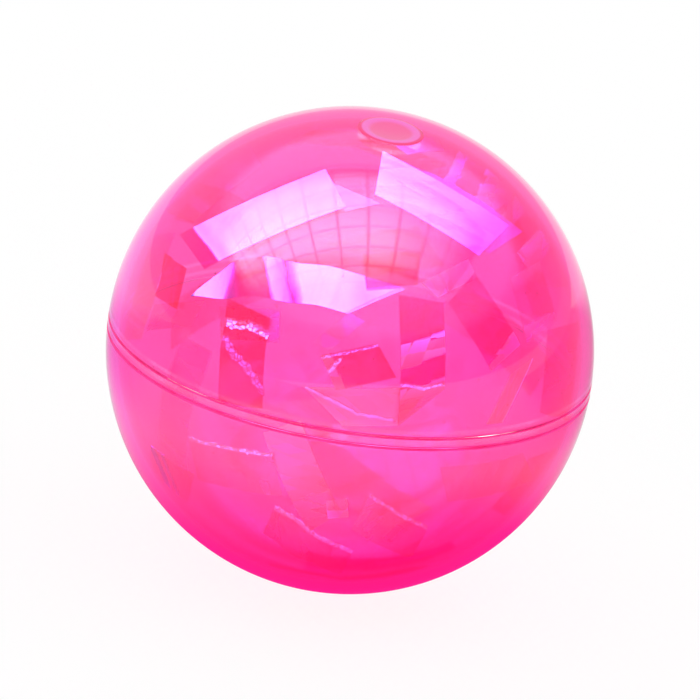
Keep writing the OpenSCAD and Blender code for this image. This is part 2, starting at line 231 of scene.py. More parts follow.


# One entry for each film strip. First its shape, as in the part: wall angles in degrees (longitude,
# latitude, spin, tilt), layer, cut as shares of the usual length and width (length, width, left and right
# slant), form (bend as a share of the wall's curve, lift and wave height as shares of the width, waves).
# Then its look: roughness, the tint that it lets through, how deep it is crinkled in millimetres, and bands
# along its length as (share of the length, colour, share of light that it sends back). The bands give the
# film's own colours and also painted highlights and painted shade: bright bands where the strip would catch
# the light, and bands that send little back where it turns away, such as left_bright's dark left end
FILMS = [
    # Painted highlights and shade: the white, lavender and cream bands stand for light that a strip catches,
    # and the low shares for where it turns away
    ("left_bright", (-135.5, 47.4, 55.6, 6), 0, (0.94, 1.05, 0.27, -0.17), (0.4, 0, 0, 0),
     0.16, "hot", 0.03, ((0.0, "deep", 0.03), (0.125, "deep", 0.03), (0.14, "white", 0.93),
      (0.18, "lavender", 0.9), (0.24, "white", 0.93), (0.32, "lavender", 0.92), (0.5, "white", 0.93),
      (0.75, "cream", 0.9), (1.0, "lavender", 0.92))),
    ("left_under", (-124, 55.6, 49, 6), 1, (0.84, 0.95, 0.2, -1), (0.6, 0.24, 0, 0),
     0.25, "rose", 0.1, fade("pearl", 0.5, "pearl", 0.5)),
    ("wavy", (-110.4, 34.7, 7, -12), 0, (1.18, 0.9, -0.75, 1), (1, 0, 0.22, 3),
     0.16, "hot", 0.03, ((0.0, "white", 0.97), (0.1, "lavender", 0.95), (0.19, "purple", 0.85),
      (0.22, "hot", 0.03), (0.36, "hot", 0.03), (0.38, "lavender", 0.95), (0.45, "purple", 0.8),
      (0.47, "hot", 0.1), (0.5, "purple", 0.8), (0.53, "white", 0.99), (0.75, "white", 0.99),
      (0.84, "lavender", 0.95), (1.0, "white", 0.98))),
    ("wavy_under", (-79.5, 42.2, 8, 0), 1, (0.32, 0.7, 0, 0.2), (1, 0.05, 0, 0),
     0.4, "red", 0.01, fade("red", 0.02, "red", 0.02)),
    ("right_bright", (-52.6, 62.3, -48.5, 12), 0, (0.8, 1.02, 0.28, 0.2), (0.5, 0, 0, 0),
     0.18, "rose", 0.22, ((0.0, "white", 0.99), (0.3, "lavender", 0.98), (0.6, "lavender", 0.95),
      (1.0, "magenta", 0.9))),
    ("right_under", (-40, 62.5, -62, 12), 0.6, (0.82, 1, 0.4, 0.3), (0.6, 0.3, 0, 0),
     0.25, "rose", 0.2, fade("magenta", 0.5, "purple", 0.6)),
    ("crinkled", (-70.6, 19.7, -88, 0), 0, (0.72, 0.92, -0.18, -0.79), (1, 0, 0.05, 2),
     0.35, "crimson", 0.3, ((0.0, "hot", 0.01), (0.33, "hot", 0.01), (0.35, "pearl", 0.9),
      (0.5, "pearl", 0.75), (0.52, "hot", 0.01), (0.68, "hot", 0.01), (0.7, "lilac", 0.8),
      (0.8, "pearl", 0.5), (1.0, "pearl", 0.4))),
    ("slanted", (-51.6, 28.5, -61, 0), 0, (0.48, 0.9, 0.1, 0), (1, 0, 0.05, 1),
     0.4, "hot", 0.25, ((0.0, "hot", 0.02), (0.86, "hot", 0.02), (0.88, "lilac", 0.9),
      (1.0, "lilac", 0.9))),
    ("on_edge", (-39.8, 8.8, 54, 58), 0, (0.4, 0.8, 0, 0.4), (0.4, 0, 0, 0),
     0.3, "rose", 0.15, fade("pearl", 0.8, "lilac", 0.8)),
    ("low_front", (-83.4, 7, 6.7, 0), 1, (0.7, 0.76, 1, 0.85), (1, 0, 0.06, 2),
     0.4, "rose", 0.15, ((0.0, "pearl", 0.8), (0.5, "lilac", 0.75), (1.0, "pearl", 0.8))),
    ("curled", (-87.2, 16.9, 20, 0), 0, (0.38, 0.74, 0.2, -0.3), (1.6, 0, 0.04, 2),
     0.35, "red", 0.25, ((0.0, "pearl", 0.8), (0.18, "pearl", 0.7), (0.22, "red", 0.05),
      (1.0, "red", 0.05))),
    ("crumpled", (-117.4, 13.6, -79, 0), 0, (0.58, 0.98, -0.3, 0), (1, 0, 0.06, 2),
     0.35, "red", 0.3, fade("red", 0.03, "hot", 0.03)),
    ("crumpled_under", (-119.5, 20.6, 14, 0), 1, (0.42, 0.64, 0.2, -0.1), (1, 0.2, 0, 0),
     0.35, "rose", 0.25, fade("pearl", 0.5, "magenta", 0.5)),
    ("left_side", (-152, 21, 6, 0), 0, (0.44, 0.8, 0.7, -0.3), (1, 0.2, 0.1, 2),
     0.35, "deep", 0.35, fade("deep", 0.03, "hot", 0.03)),
    ("left_mid", (-143.5, 14.5, 25, 0), 1, (0.48, 0.5, -0.5, 0.6), (1, 0, 0, 0),
     0.3, "rose", 0.3, fade("magenta", 0.4, "lilac", 0.4)),
    ("left_rim", (-178, 10, 108, 24), 0, (0.68, 0.95, 0.2, -0.2), (0.5, 0, 0.08, 1),
     0.2, "rose", 0.3, ((0.0, "lilac", 0.9), (0.5, "lilac", 0.8), (1.0, "magenta", 0.9))),
    ("top_left", (-178, 44, 104, 22), 0, (0.6, 0.92, 0.3, 0.1), (0.5, 0, 0, 0),
     0.3, "rose", 0.25, fade("pearl", 0.3, "lilac", 0.3)),
    ("top_patch", (-18, 80, -30, 0), 0, (0.38, 0.66, 0.1, 0.5), (1, 0, 0, 0),
     0.35, "rose", 0.1, fade("magenta", 0.7, "magenta", 0.6)),
    ("top_right", (12, 62, -112, 34), 0, (0.5, 0.95, 0.2, 0.3), (0.5, 0, 0.06, 2),
     0.3, "rose", 0.35, ((0.0, "lilac", 0.1), (0.16, "lilac", 0.1), (0.18, "lilac", 0.7),
      (0.3, "magenta", 0.5), (0.32, "pearl", 0.15), (0.55, "pearl", 0.15), (0.57, "lilac", 0.75),
      (0.75, "pearl", 0.4), (1.0, "pearl", 0.1))),
    ("facet_wide", (-12, 46, -95, 24), 0, (0.4, 0.8, 0.3, -0.2), (0.5, 0, 0, 0),
     0.3, "rose", 0.35, ((0.0, "pearl", 0.6), (0.3, "pearl", 0.3), (0.33, "lilac", 0.05),
      (0.6, "lilac", 0.05), (0.62, "pearl", 0.6), (1.0, "pearl", 0.2))),
    ("facet_mid", (-60.1, 39.9, 21.3, 0), 1, (0.34, 0.42, 0.36, 0.17), (1, 0, 0, 0),
     0.35, "rose", 0.25, fade("pearl", 0.6, "lilac", 0.6)),
    ("right_mid", (-27, 30, -95, 26), 0, (0.42, 0.76, 0.2, -0.4), (0.5, 0, 0, 0),
     0.3, "rose", 0.35, ((0.0, "pearl", 0.5), (0.25, "pearl", 0.1), (0.28, "hot", 0.05),
      (0.7, "hot", 0.05), (0.73, "lilac", 0.6), (1.0, "lilac", 0.2))),
    ("right_rim", (6, 36, -110, 36), 0, (0.5, 0.9, -0.2, 0.3), (0.5, 0, 0.06, 2),
     0.3, "rose", 0.35, ((0.0, "pearl", 0.1), (0.3, "pearl", 0.1), (0.33, "lilac", 0.7),
      (0.5, "pearl", 0.3), (0.52, "pearl", 0.05), (1.0, "lilac", 0.3))),
    ("right_side", (-14, 8, -105, 28), 0, (0.56, 0.9, 0.2, 0.2), (0.5, 0, 0, 0),
     0.3, "hot", 0.3, fade("magenta", 0.2, "pearl", 0.4)),
    ("mid_purple", (-93.7, 24.4, 49.8, 0), 0, (0.3, 0.34, 0.59, -0.36), (1, 0, 0, 0),
     0.25, "rose", 0.3, ((0.0, "lilac", 0.5), (0.4, "pearl", 0.3), (1.0, "magenta", 0.4))),
    ("low_left", (-115.6, -16.7, 8, 0), 0, (0.56, 0.96, 0.1, -0.1), (1, 0, 0.05, 1),
     0.35, "rose", 0.2, fade("pearl", 0.3, "lilac", 0.4)),
    ("low_long", (-96.7, -15.5, -62, 0), 1, (0.7, 0.85, 0.08, -0.35), (1, 0, 0, 0),
     0.35, "rose", 0.2, ((0.0, "lilac", 0.9), (0.35, "lilac", 0.8), (0.6, "pearl", 0.5),
      (1.0, "pearl", 0.4))),
    ("low_bit", (-87, -21.5, 17, 0), 0, (0.13, 0.48, -0.1, 0.1), (1, 0, 0, 0),
     0.3, "rose", 0.35, ((0.0, "lilac", 0.9), (0.5, "pearl", 0.5), (1.0, "pearl", 0.6))),
    ("low_middle", (-94, -37.7, -33, 0), 0, (0.64, 0.96, 0.4, -0.4), (1, 0, 0.1, 2),
     0.35, "rose", 0.25, fade("pearl", 0.4, "magenta", 0.3)),
    ("low_right", (-71, -27.5, -31, 0), 0, (0.58, 0.9, 0.4, -0.5), (1, 0, 0, 0),
     0.35, "rose", 0.25, fade("lilac", 0.4, "pearl", 0.3)),
    ("low_wide", (-46.3, -12, 3, 0), 0, (0.74, 0.85, 0.44, -0.75), (1, 0, 0, 0),
     0.35, "rose", 0.3, fade("pearl", 0.3, "pearl", 0.3)),
    ("low_far_left", (-140, -28, -4, 0), 0, (0.5, 1, -0.43, 0.49), (1, 0, 0.05, 1),
     0.3, "rose", 0.2, ((0.0, "pearl", 0.3), (0.2, "pearl", 0.2), (0.24, "blue", 0.85),
      (0.34, "blue", 0.8), (0.38, "pearl", 0.2), (0.5, "blue", 0.7), (0.56, "pearl", 0.2),
      (1.0, "lilac", 0.3))),
    ("low_far_right", (-18, -24, -100, 20), 0, (0.5, 0.9, 0.3, 0.2), (0.5, 0, 0, 0),
     0.3, "hot", 0.3, fade("hot", 0.1, "pearl", 0.2)),
    ("bottom_front", (-74, -63, 4, 0), 0, (0.9, 1, 0.2, 0.2), (1, 0, 0.06, 2),
     0.35, "deep", 0.25, fade("hot", 0.02, "red", 0.02)),
    ("bottom_cross", (-30, -70, 70, 0), 1, (0.94, 0.95, -0.2, 0.3), (1, 0, 0, 0),
     0.35, "hot", 0.25, fade("red", 0.02, "hot", 0.02)),
    ("bottom_back", (75, -58, 25, 0), 0, (0.94, 1, 0.3, -0.2), (1, 0, 0.08, 3),
     0.35, "petal", 0.3, fade("pearl", 0.2, "hot", 0.1)),
    ("back_middle", (92, 4, -24, 0), 0, (1, 1, -0.3, 0.2), (1, 0, 0.1, 3),
     0.3, "rose", 0.3, fade("pearl", 0.25, "lilac", 0.2)),
    ("back_top", (96, 50, 16, 0), 0, (0.94, 1, 0.2, -0.3), (1, 0, 0.1, 2),
     0.3, "rose", 0.3, fade("pearl", 0.5, "lilac", 0.5)),
    ("back_left", (139, 20, 26, 0), 0, (0.84, 0.98, 0.3, 0.2), (1, 0, 0, 0),
     0.3, "rose", 0.3, fade("lilac", 0.25, "pearl", 0.25)),
    ("back_right", (40, 22, 62, 0), 0, (0.86, 0.98, 0.2, -0.3), (1, 0, 0.08, 2),
     0.3, "rose", 0.3, fade("hot", 0.15, "pearl", 0.2)),
    ("back_band", (46, -6, 12, 0), 0.7, (0.96, 1, 0.3, 0.2), (1, 0, 0, 0),
     0.3, "rose", 0.3, fade("pearl", 0.25, "pearl", 0.15)),
    ("back_cross", (130, -7, -18, 0), 1, (0.9, 0.95, 0.2, -0.3), (1, 0, 0, 0),
     0.3, "rose", 0.3, fade("pearl", 0.25, "pearl", 0.25)),
    ("back_low", (152, -33, -42, 0), 0, (0.92, 0.95, -0.2, -0.2), (1, 0, 0.1, 2),
     0.3, "rose", 0.3, fade("magenta", 0.4, "lilac", 0.4)),
]

# Folds pressed into strips: a path of (share of the length, share of the width) from left to right, then width
# and depth of the fold in millimetres, its share of painted white glint, and how ragged it is in millimetres.
# The fold lies left of the path.
FILM_FOLDS = {
    "crumpled": ((((0.27, 0.05), (0.27, 0.5), (0.33, 0.97)), 1.4, 0.9, 1.0, 0.5),
                 (((0.4, 0.02), (0.56, 0.3), (0.64, 0.55), (0.84, 0.9)), 1.3, 0.6, 0.5, 0.5)),
    "low_front": ((((0.0, 0.98), (0.4, 0.3), (0.7, 0.1)), 0.6, 0.3, 0.3, 0.25),),
    "curled": ((((0.02, 0.9), (0.98, 0.9)), 0.6, 0.4, 0.6, 0.25),
               (((0.0, 0.4), (0.25, 0.7)), 0.8, 0.5, 0.9, 0.25)),
    "wavy": ((((0.985, 1.0), (0.775, 0.0)), 0.8, 0.25, 1.0, 0.1),),
    "low_left": ((((0.0, 0.94), (1.0, 0.94)), 0.5, 0.75, 1.0, 0.12),),
    "low_middle": ((((0.0, 0.94), (1.0, 0.94)), 0.5, 0.75, 0.8, 0.12),),
    "low_right": ((((0.0, 0.94), (1.0, 0.94)), 0.5, 0.75, 1.0, 0.12),),
    "crinkled": ((((0.7, 0.05), (0.73, 0.5), (0.7, 0.95)), 0.6, 0.4, 0.8, 0.3),),
}


def length_prop(title, text, default):
    """A length in metres that a user can change."""
    return bpy.props.FloatProperty(name=title, description=text, default=default, unit="LENGTH", precision=5)


def angle_prop(title, text, default):
    """An angle, given in degrees, that a user can change."""
    return bpy.props.FloatProperty(
        name=title, description=text, default=math.radians(default), subtype="ANGLE")


def colour_prop(title, text, default):
    """A colour that a user can change."""
    return bpy.props.FloatVectorProperty(
        name=title, description=text, default=default, size=3, min=0.0, max=1.0, subtype="COLOR")


class BallSizes(bpy.types.PropertyGroup):
    """Sizes of the moulded pieces."""
    seam_depth: length_prop("Seam depth", "Depth of the groove that the weld fills", 1.1 * MM)
    spigot_t: length_prop("Spigot", "Thickness of the locating spigot", 0.7 * MM)
    fit: length_prop("Fit", "Clearance between the spigot, the plug and their seats", 0.1 * MM)
    air_gap: length_prop("Air gap", "Least gap between two bonded pieces", 0.04 * MM)
    seam_round: length_prop("Seam rounding", "Rounding of the edges along the seam", 0.3 * MM)
    seam_round_low: length_prop("Lower seam rounding", "Rounding of the lower half's seam edge", 0.4 * MM)
    plug_head_r: length_prop("Plug radius", "Radius of the plug's head", 6.75 * MM)
    plug_proud: length_prop("Plug height", "How far the plug's rim stands above the ball", 0.25 * MM)
    plug_head_h: length_prop("Plug head", "Thickness of the plug's head", 1.5 * MM)
    plug_rim_r: length_prop("Plug rim", "Height of the rounding of the plug's rim", 0.3 * MM)
    plug_rim_w: length_prop("Plug rim width", "Width of the rounding of the plug's rim", 1.4 * MM)
    plug_stem_r: length_prop("Plug stem", "Radius of the plug's stem", 4.0 * MM)
    dish_r: length_prop("Dish", "Radius of the dish in the plug's head", 5.3 * MM)
    dish_depth: length_prop("Dish depth", "Depth of the dish in the plug's head", 0.6 * MM)
    plug_lean: angle_prop("Plug lean", "Angle by which the plug leans off the pole", 4.0)
    plug_turn: angle_prop("Plug turn", "Direction of the lean, from the front towards the right", 25.0)

    def plug_top_z(self):
        """Height of the plug's rim above the ball's centre, before it leans."""
        return sphere_z(NOMINAL_R, self.plug_head_r) + self.plug_proud


class FilmSizes(bpy.types.PropertyGroup):
    """Sizes of the film strips."""
    strip_l: length_prop("Length", "Usual length of a film strip", 36.0 * MM)
    strip_w: length_prop("Width", "Usual width of a film strip", 10.0 * MM)
    thickness: length_prop("Thickness", "Thickness of the film", 0.2 * MM)
    clear: length_prop("Clearance", "Gap between the wall and a strip's corners", 0.3 * MM)
    layer_step: length_prop("Layer step", "Step inwards from one layer of strips to the next", 0.95 * MM)
    crinkle_size: length_prop("Crinkle size", "Width of one notch in a ragged fold", 1.1 * MM)


class BallColours(bpy.types.PropertyGroup):
    """Colours of the plastic and of the film."""
    shell: colour_prop("Shell", "Tint of one wall of the shell", (1.0, 0.25, 0.61))
    shell_rim: colour_prop("Shell rim", "Tint of the wall where it is seen edge on", (1.0, 0.015, 0.27))
    weld: colour_prop("Weld", "Tint of the weld band", (1.0, 0.36, 0.62))
    # The plug's three colours paint its light and shade: painted shade deepens the dish, painted light
    # lightens the ring round it, and a red painted shadow runs along the rim
    plug: colour_prop("Plug", "Plug's plastic in the dish", (1.0, 0.13, 0.38))
    plug_lit_ring: colour_prop("Plug face", "Plug's plastic round the dish", (1.0, 0.17, 0.62))
    plug_shaded_edge: colour_prop("Plug edge", "Plug's plastic along its rim", (1.0, 0.05, 0.24))
    joint: colour_prop("Joint", "Light that a bonded joint lets through", (1.0, 0.98, 0.99))
    seam_line: colour_prop("Seam line", "Plastic squeezed into a joint's edge", (1.0, 0.015, 0.25))
    white: colour_prop("White", "Brightest shine of the film", (0.25, 1.0, 0.95))
    cream: colour_prop("Cream", "Warm white shine of the film", (1.0, 0.95, 0.95))
    # Painted glint: the white shine laid along the folds of the film
    painted_glint: colour_prop("Glint", "Shine of a fold", (0.9, 1.0, 0.75))
    pearl: colour_prop("Pearl", "Pearly shine of the film", (1.0, 0.95, 0.52))
    lilac: colour_prop("Lilac", "Lilac shine of the film", (1.0, 0.95, 0.75))
    lavender: colour_prop("Lavender", "Lavender shine of the film", (0.3, 0.8, 1.0))
    purple: colour_prop("Purple", "Purple shine of the film", (0.85, 0.4, 1.0))
    magenta: colour_prop("Magenta", "Magenta shine of the film", (1.0, 0.45, 0.95))
    hot: colour_prop("Hot pink", "Hot pink of the film", (1.0, 0.15, 0.72))
    red: colour_prop("Red", "Red pink of the film", (1.0, 0.25, 0.55))
    crimson: colour_prop("Crimson", "Crimson of the film", (1.0, 0.06, 0.6))
    # Deep pink: partly the film's own colour and partly painted shade, on the strips at the bottom of the ball
    # and at the dark left end of left_bright
    deep: colour_prop("Deep pink", "Deep pink of the film at the bottom", (1.0, 0.1, 0.5))
    blue: colour_prop("Blue", "Blue violet shine of the film", (0.35, 0.3, 1.0))
    seam_deep: colour_prop("Seam depth", "Seam line where the bead is thin", (1.0, 0.04, 0.36))
    petal: colour_prop("Petal", "Light that a warm pale strip lets through", (1.0, 0.65, 0.65))
    rose: colour_prop("Rose", "Light that a pale strip lets through", (1.0, 0.72, 0.85))
    # Painted pool of pink light under the ball, seen only through the ball and in its gloss
    ball_glow_painted_on_floor: colour_prop("Floor glow", "Light through the ball onto the floor", (1.0, 0.02, 0.36))
    backdrop: colour_prop("Backdrop", "Floor and surroundings", (1.0, 1.0, 1.0))
    room: colour_prop("Room", "Room that the ball's gloss shows", (1.0, 0.8, 0.9))


class StageSettings(bpy.types.PropertyGroup):
    """Camera and light."""
    distance: length_prop("Camera distance", "From the ball's centre to the camera", 2.5)
    elevation: angle_prop("Elevation", "Camera's angle above the horizon", 20.6)
    roll: angle_prop("Roll", "Camera's turn about its own line of sight", 8.7)
    ball_px: bpy.props.FloatProperty(
        name="Ball in the picture", description="Ball's diameter in picture points", default=488.6)
    panel_height: length_prop("Panel height", "Height of the light panel above the ball's centre", 0.7)
    panel_glow: bpy.props.FloatProperty(
        name="Panel glow", description="Brightness of the light panel, where white is 1", default=13.0)


class Signal:
    """One output of a shader node that can stand in a Python expression."""

    def __init__(self, tree, socket=None):
        self.tree = tree
        self.socket = socket

    def add(self, kind, settings=None, inputs=None, output=0):
        """Adds a shader node, sets it up, feeds its sockets and gives one of its outputs."""
        node = self.tree.nodes.new("ShaderNode" + kind)
        for key, value in (settings or {}).items():
            if key == "stops":
                set_stops(node.color_ramp, value)
            else:
                setattr(node, key, value)
        for key, value in (inputs or {}).items():
            if isinstance(value, Signal):
                self.tree.links.new(value.socket, node.inputs[key])
            else:
                node.inputs[key].default_value = value
        return Signal(self.tree, node.outputs[output])

    def other(self, output):
        """Another output of the same node."""
        return Signal(self.tree, self.socket.node.outputs[output])

    def math(self, operation, *others):
        """A Math node on this value and the others."""
        values = dict(enumerate((self, *others)))
        return self.add("Math", {"operation": operation}, values)

    def __add__(self, other):
        return self.math("ADD", other)

    def __radd__(self, other):
        return self.math("ADD", other)

    def __sub__(self, other):
        return self.math("SUBTRACT", other)

    def __rsub__(self, other):
        return self.math("MULTIPLY", -1.0).math("ADD", other)

    def __mul__(self, other):
        return self.math("MULTIPLY", other)

    def __rmul__(self, other):
        return self.math("MULTIPLY", other)

    def step(self, low, high):
        """Smooth step from 0 at low to 1 at high."""
        return self.add("MapRange", {"interpolation_type": "SMOOTHSTEP"},
                        {"Value": self, "From Min": low, "From Max": high})

    def mix(self, first, second):
        """First colour where this value is 0, second where it is 1."""
        return self.add("Mix", {"data_type": "RGBA"}, {0: self, 6: first, 7: second}, 2)

    def blend(self, first, second):
        """First shader where this value is 0, second where it is 1."""
        return self.add("MixShader", None, {0: self, 1: first, 2: second})

    def vector(self, operation, inputs, output=0):
        """A Vector Math node on this vector and more inputs."""
        return self.add("VectorMath", {"operation": operation}, {0: self, **inputs}, output)

    def axes(self):
        """The three parts of this vector."""
        x = self.add("SeparateXYZ", None, {0: self})
        return x, x.other("Y"), x.other("Z")


def set_stops(ramp, stops):
    """Gives a colour ramp its stops."""
    while len(ramp.elements) > 1:
        ramp.elements.remove(ramp.elements[-1])
    ramp.elements[0].position, ramp.elements[0].color = stops[0]
    for place, colour in stops[1:]:
        ramp.elements.new(place).color = colour


def rgba(colour):
    """A colour with full alpha."""
    return (*colour, 1.0)


def new_material(name):
    """A material with an empty node tree, and a signal to start from."""
    material = bpy.data.materials.new(name)
    material.use_nodes = True
    material.node_tree.nodes.clear()
    return material, Signal(material.node_tree)


def finish_material(start, surface):
    """Links the last shader to the output."""
    output = start.tree.nodes.new("ShaderNodeOutputMaterial")
    start.tree.links.new(surface.socket, output.inputs["Surface"])


def straight_through(start, tint):
    """A shader that lets light straight through with a tint."""
    return start.add("BsdfPrincipled", None, {
        "Base Color": rgba(tint), "Roughness": 0.0, "IOR": 1.0, "Transmission Weight": 1.0})


def pattern(start, scale):
    """Where a spot lies on the object, and a soft noise there."""
    place = start.add("TexCoord", None, None, "Object")
    return place, start.add("TexNoise", None, {"Vector": place, "Scale": scale})


def ripples(start, flow, depth):
    """A bump from a soft noise."""
    return start.add("Bump", None, {"Height": flow, "Strength": 1.0, "Distance": depth})


def clear_plastic(name, tint, rim_tint, roughness, ripple):
    """Tinted see-through plastic with faint moulding ripples, a few dust specks, painted shade that deepens it
    towards its right side and painted light on its far left rim.
    """
    material, start = new_material(name)
    place, flow = pattern(start, RIPPLE_SCALE)
    cells = start.add("TexVoronoi", None, {"Vector": place, "Scale": SPECK_SCALE})
    dust = start.add("TexNoise", None, {"Vector": place, "Scale": SPECK_PATCH_SCALE})
    speck = (1.0 - cells.step(*SPECK_EDGE)) * dust.step(*SPECK_PATCHES)
    edge_on = start.add("LayerWeight", None, None, "Facing").step(*RIM_FACING)
    x, _, _ = place.axes()
    # Painted shade towards the ball's right side, and painted light on its far left rim
    right_shaded_tint = [part * share for part, share in zip(tint, RIGHT_PAINTED_SHADE)]
    side_shaded = x.step(*RIGHT_SHADE_RANGE).mix(rgba(tint), rgba(right_shaded_tint))
    red, green, blue = rim_tint
    rim = x.step(*LEFT_RIM_PAINTED_LIGHT).mix((red, green, math.sqrt(blue), 1.0), rgba(rim_tint))
    wall = edge_on.mix(side_shaded, rim)
    colour = speck.mix(wall, rgba(SPECK_SHADE * part for part in tint))
    surface = start.add("BsdfPrincipled", None, {
        "Base Color": colour, "Roughness": flow * ROUGHNESS_SPREAD + roughness, "IOR": PLASTIC_IOR,
        "Transmission Weight": 1.0, "Normal": ripples(start, flow, ripple)})
    finish_material(start, surface)
    return material


def outside_only(start, surface, clear_tint):
    """A shader that shows from outside and is see-through from within the plastic."""
    inside = start.add("NewGeometry", None, None, "Backfacing")
    finish_material(start, inside.blend(surface, straight_through(start, clear_tint)))


def milky_plastic(name, tint, deep_tint, clear_tint):
    """Soft pink plastic, cloudy where it was squeezed out, that only shows from outside the ball."""
    material, start = new_material(name)
    _, flow = pattern(start, CLOUD_SCALE)
    colour = flow.step(*CLOUDS).mix(rgba(tint), rgba(deep_tint))
    surface = start.add("BsdfPrincipled", None, {
        "Base Color": colour, "Roughness": flow * CLOUD_SPREAD + SEAM_ROUGHNESS,
        "Specular IOR Level": SEAM_SPECULAR, "Normal": ripples(start, flow, RIPPLE_DEPTH)})
    outside_only(start, surface, clear_tint)
    return material


def plug_plastic(name, colours, axis, rim_r):
    """Soft pink plastic with painted light and shade by distance from the plug's axis: deeper pink in the dish
    as painted shade, painted light round it and a red painted shadow along the rim.
    """
    material, start = new_material(name)
    place, flow = pattern(start, CLOUD_SCALE)
    arm = place.vector("CROSS_PRODUCT", {1: axis}).vector("LENGTH", {}, "Value")
    # Painted shade in the dish, painted light round it and a red painted shadow along the rim
    reach = arm * (1.0 / rim_r) + flow * PLUG_UNEVEN
    face = reach.step(*PLUG_LIT_RING).mix(rgba(colours.plug), rgba(colours.plug_lit_ring))
    colour = reach.step(*PLUG_SHADED_EDGE).mix(face, rgba(colours.plug_shaded_edge))
    surface = start.add("BsdfPrincipled", None, {
        "Base Color": colour, "Roughness": flow * CLOUD_SPREAD + PLUG_ROUGHNESS,
        "Normal": ripples(start, flow, RIPPLE_DEPTH)})
    outside_only(start, surface, colours.joint)
    return material


def bonded_face(name, tint):
    """Face between two bonded pieces, which lets light straight through with a slightly uneven tint."""
    material, start = new_material(name)
    _, flow = pattern(start, BOND_SCALE)
    even = straight_through(start, tint)
    deep = straight_through(start, [part ** 2 for part in tint])
    finish_material(start, flow.step(*BOND_PATCHES).blend(even, deep))
    return material


def film_material(name, roughness, tint, bands, colours):
    """Iridescent film: part mirror in bands of colour, part tinted see-through, with painted highlights and
    shade in its bands, painted light and shade on its facets and a painted glint along its folds.
    """
    material, start = new_material(name)
    place = start.add("Attribute", {"attribute_name": "film_place"}, None, "Vector")
    along, across, _ = place.axes()
    streaks = start.add("TexNoise", None, {
        "Vector": place.vector("MULTIPLY", {1: STREAKS}), "Scale": 1.0, "Detail": STREAK_DETAIL})
    cracks = start.add("TexVoronoi", {"feature": "DISTANCE_TO_EDGE"}, {
        "Vector": start.add("TexCoord", None, None, "Object"), "Scale": CRACK_SCALE})
    # Painted glint along the folds: there the film turns into a smoother mirror of the glint colour, broken by
    # cracks
    fold = start.add("Attribute", {"attribute_name": "film_fold"}, None, "Fac")
    fold = fold * cracks.step(*CRACKS)
    # Painted light and shade on the facets: each facet is made lighter or darker, more magenta, clearer or
    # more mirror-like, as if it caught the light differently
    facet = start.add("Attribute", {"attribute_name": "film_facet"}, None, "Fac")
    uneven = streaks - 0.5
    shift = uneven * STREAK_SHIFT + (across - 0.5) * SLANT_SHIFT + facet * FACET_SHIFT
    # A ray crosses both faces of the film, so each face takes the root of what the strip lets through
    stops = [(share, (*getattr(colours, colour), 1.0 - math.sqrt(1.0 - cover)))
             for share, colour, cover in bands]
    colour = start.add("ValToRGB", {"stops": stops}, {"Fac": along + shift})
    dull = uneven * STREAK_DULL + roughness
    faceted = (facet * FACET_COLOUR).mix(colour, rgba(colours.magenta))
    shine = start.add("BsdfPrincipled", None, {
        "Base Color": fold.mix(faceted, rgba(colours.painted_glint)), "Metallic": 1.0,
        "Roughness": dull - fold * (dull - GLINT_ROUGHNESS)})
    full_tint = getattr(colours, tint)
    half_tint = [math.sqrt(part) for part in full_tint]
    even = start.add("BsdfTransparent", None, {"Color": rgba(half_tint)})
    deep = start.add("BsdfTransparent", None, {"Color": rgba(full_tint)})
    clear = (facet + FACET_CLEAR).blend(even, deep)
    cover = colour.other("Alpha") * (facet * FACET_SHINE + 1.0)
    finish_material(start, cover.math("MAXIMUM", fold).blend(clear, shine))
    return material


def arc(centre, radius, start, end, steps):
    """Points (radius from the axis, height) along an arc, with angles in radians from level."""
    r, z = centre
    turns = [start + (end - start) * step / steps for step in range(steps + 1)]
    return [(r + radius * math.cos(turn), z + radius * math.sin(turn)) for turn in turns]


def revolve(name, runs, closed, segments, shift=None):
    """A mesh turned about Z from runs of outline points, each run with its material index."""
    rings = []
    for points, finish in runs:
        for point in points:
            rings.append((point, finish))
    verts, rows = [], []
    for (r, z), _ in rings:
        if r < POLE_R:
            rows.append([len(verts)] * segments)
            verts.append((0.0, 0.0, z))
            continue
        rows.append(list(range(len(verts), len(verts) + segments)))
        for i in range(segments):
            turn = 2.0 * math.pi * i / segments
            lift = shift(turn, r, z) if shift else 0.0
            verts.append((r * math.cos(turn), r * math.sin(turn), z + lift))
    faces, finishes = [], []
    for k in range(len(rings) if closed else len(rings) - 1):
        low, high = rows[k], rows[(k + 1) % len(rings)]
        for i in range(segments):
            j = (i + 1) % segments
            corners = list(dict.fromkeys((low[i], low[j], high[j], high[i])))
            if len(corners) > 2:
                faces.append(corners)
                finishes.append(rings[k][1])
    return mesh_object(name, verts, faces, finishes)


def mesh_object(name, verts, faces, finishes):
    """A smooth-shaded object in the scene, with sharp edges kept."""
    mesh = bpy.data.meshes.new(name)
    mesh.from_pydata(verts, [], faces)
    mesh.polygons.foreach_set("material_index", finishes)
    mesh.shade_smooth()
    mesh.set_sharp_from_angle(angle=SHARP_ANGLE)
    mesh.update()
    piece = bpy.data.objects.new(name, mesh)
    bpy.context.scene.collection.objects.link(piece)
    return piece


def seat(piece, node, body, slot, *materials):
    """Gives a piece its materials and puts it in place of its CAD node."""
    for material in materials:
        piece.data.materials.append(material)
    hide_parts(node)
    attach(piece, body)


def sphere_z(radius, r):
    """Height on a sphere at a distance from the axis."""
    return math.sqrt(radius ** 2 - r ** 2)


